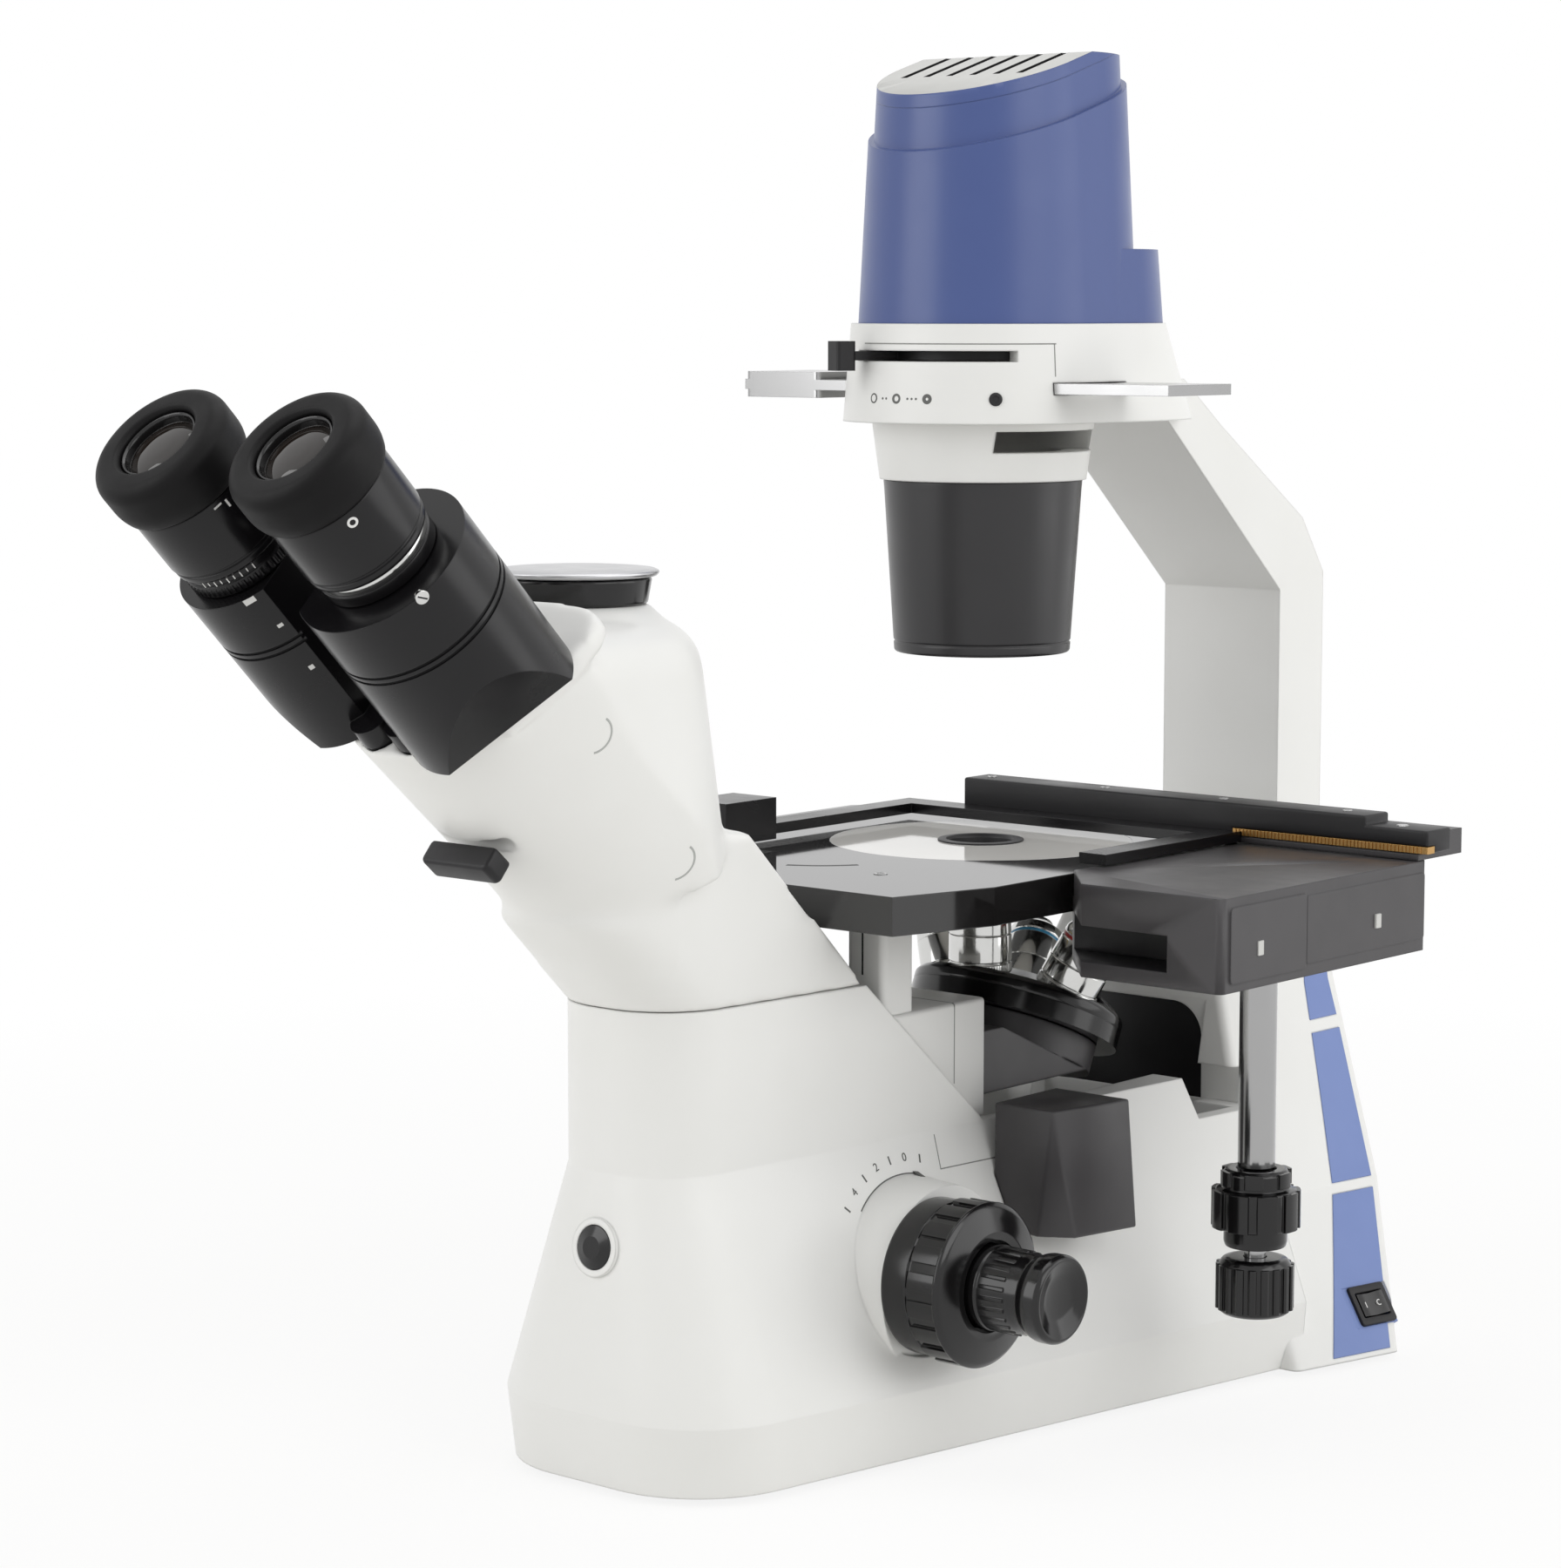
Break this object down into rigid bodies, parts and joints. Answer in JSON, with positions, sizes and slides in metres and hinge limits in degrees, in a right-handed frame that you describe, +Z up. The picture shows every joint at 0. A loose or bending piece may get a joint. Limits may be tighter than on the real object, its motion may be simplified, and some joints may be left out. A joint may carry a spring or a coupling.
{
  "type": "inverted microscope",
  "caption": "Inverted laboratory microscope: flared stand with binocular head, mechanical stage, tilted objective turret below, and an arm that carries lamp and condenser above.",
  "frame": {"origin": "on the bench, under the middle of the whole outline", "axes": "+Z up; the operator sits at -Y; +X is at the operator's right hand"},
  "size_m": [0.2926, 0.5966, 0.507],
  "materials": {
    "white_paint": "satin warm white enamel",
    "blue_paint": "satin blue enamel",
    "black_plastic": "satin black",
    "black_paint": "satin black",
    "dark_paint": "fine textured dark grey",
    "black_rubber": "matt",
    "bright_metal": "polished",
    "steel": "brushed",
    "brass": "satin",
    "grey_plastic": "satin pale grey",
    "stage_paint": "glossy black",
    "clear_glass": "clear",
    "frosted_insert": "satin pale",
    "mirror_face": "polished",
    "heat_sink": "satin"
  },
  "bodies": {
    "stand": {"base_casting": "white_paint", "base_plate": "black_paint", "rubber_feet": "black_rubber", "rear_inlays": "blue_paint", "switch_frame": "black_plastic", "mains_inlet": "black_plastic", "relay_mirror": "mirror_face", "focus_housing": "white_paint", "focus_rail": "steel", "bay_panel": "black_plastic", "neck_casting": "white_paint", "head_casting": "white_paint", "head_plugs": "white_paint", "port_ring": "black_paint", "stage_posts": "white_paint", "stage_plate": "stage_paint", "stage_insert": "frosted_insert", "drive_box": "dark_paint", "drive_rod": "steel", "column_arm": "white_paint", "lamp_carrier": "white_paint", "carrier_ring": "white_paint", "condenser_cone": "black_paint", "condenser_lens": "clear_glass", "lamp_housing": "blue_paint", "lamp_lid": "grey_plastic", "led_module": "heat_sink"},
    "left_eye_tube": {"left_tube": "black_paint", "left_ocular": "black_paint", "left_eyecup": "black_rubber", "left_eye_lens": "clear_glass"},
    "right_eye_tube": {"right_tube": "black_paint", "right_ocular": "black_paint", "right_eyecup": "black_rubber", "right_eye_lens": "clear_glass", "tube_ring": "bright_metal"},
    "diopter": {"diopter_ring": "bright_metal"},
    "selector": {"path_selector": "black_plastic"},
    "cap": {"port_cap": "grey_plastic"},
    "carriage": {"focus_carriage": "dark_paint"},
    "nosepiece": {"turret": "black_paint", "objective_4x": "bright_metal", "objective_10x": "bright_metal", "objective_20x": "bright_metal", "objective_40x": "bright_metal", "turret_plug": "black_plastic"},
    "coarse": {"coarse_knobs": "black_plastic"},
    "fine": {"fine_knobs": "black_plastic"},
    "filter": {"filter_slider": "black_plastic"},
    "cross_carriage": {"y_carriage": "dark_paint"},
    "cross_bar": {"x_bar": "black_paint", "x_rack": "brass", "specimen_holder": "black_paint"},
    "y_drive": {"y_knob": "black_plastic"},
    "x_drive": {"x_knob": "black_plastic"},
    "lever": {"aperture_lever": "black_plastic"},
    "phase": {"phase_slider": "bright_metal"},
    "rocker": {"power_rocker": "black_plastic"},
    "button": {"front_button": "black_plastic"}
  },
  "joints": [
    {"name": "right_tube_swing", "type": "hinge", "parent": "stand", "child": "right_eye_tube", "pos_m": [-0.0177, -0.20788, 0.27403], "axis": [0, -0.7071, 0.7071], "range_deg": [-25, 14]},
    {"name": "left_tube_swing", "type": "hinge", "parent": "stand", "child": "left_eye_tube", "pos_m": [-0.0337, -0.20788, 0.27403], "axis": [0, -0.7071, 0.7071], "range_deg": [-14, 25]},
    {"name": "diopter_turn", "type": "hinge", "parent": "left_eye_tube", "child": "diopter", "pos_m": [-0.0571, -0.28028, 0.3685], "axis": [0, -0.7071, 0.7071], "range_deg": [-60, 60]},
    {"name": "selector_slide", "type": "slide", "parent": "stand", "child": "selector", "axis": [1, 0, 0], "range_m": [-0.008, 0.008]},
    {"name": "cap_lift", "type": "slide", "parent": "stand", "child": "cap", "axis": [0, 0, 1], "range_m": [0, 0.05]},
    {"name": "focus_slide", "type": "slide", "parent": "stand", "child": "carriage", "axis": [0, 0, 1], "range_m": [-0.002, 0.007]},
    {"name": "nosepiece_turn", "type": "hinge", "parent": "carriage", "child": "nosepiece", "pos_m": [-0.0257, 0.12826, 0.14445], "axis": [0, 0.4067, 0.9135], "continuous": true},
    {"name": "coarse_turn", "type": "hinge", "parent": "stand", "child": "coarse", "pos_m": [-0.0257, -0.01268, 0.068], "axis": [1, 0, 0], "range_deg": [-20, 70]},
    {"name": "fine_turn", "type": "hinge", "parent": "stand", "child": "fine", "pos_m": [-0.0257, -0.01268, 0.068], "axis": [1, 0, 0], "continuous": true},
    {"name": "filter_slide", "type": "slide", "parent": "stand", "child": "filter", "axis": [1, 0, 0], "range_m": [0, 0.03]},
    {"name": "y_slide", "type": "slide", "parent": "stand", "child": "cross_carriage", "axis": [0, 1, 0], "range_m": [-0.06, 0.002]},
    {"name": "x_slide", "type": "slide", "parent": "cross_carriage", "child": "cross_bar", "axis": [1, 0, 0], "range_m": [-0.055, 0.055]},
    {"name": "y_knob_turn", "type": "hinge", "parent": "stand", "child": "y_drive", "pos_m": [0.1143, 0.08632, 0.072], "axis": [0, 0, 1], "range_deg": [-346, 12]},
    {"name": "x_knob_turn", "type": "hinge", "parent": "stand", "child": "x_drive", "pos_m": [0.1143, 0.08632, 0.047], "axis": [0, 0, 1], "range_deg": [-316, 316]},
    {"name": "aperture_turn", "type": "hinge", "parent": "stand", "child": "lever", "pos_m": [-0.0257, 0.10232, 0.394], "axis": [0, 0, 1], "range_deg": [0, 68]},
    {"name": "phase_slide", "type": "slide", "parent": "stand", "child": "phase", "axis": [1, 0, 0], "range_m": [-0.046, 0.01]},
    {"name": "power_rock", "type": "hinge", "parent": "stand", "child": "rocker", "pos_m": [0.08268, 0.21594, 0.02], "axis": [-0.5614, 0.1229, 0.8183], "range_deg": [0, 10]},
    {"name": "button_press", "type": "slide", "parent": "stand", "child": "button", "axis": [0, 0.9899, -0.1414], "range_m": [0, 0.0015], "stiffness_N_per_m": 600}
  ],
  "couplings": [
    {"joint": "left_tube_swing", "follows": "right_tube_swing", "ratio": -1},
    {"joint": "coarse_turn", "follows": "focus_slide", "rad_per_m": 166.67},
    {"joint": "y_knob_turn", "follows": "y_slide", "rad_per_m": 100},
    {"joint": "x_knob_turn", "follows": "x_slide", "rad_per_m": 100}
  ]
}
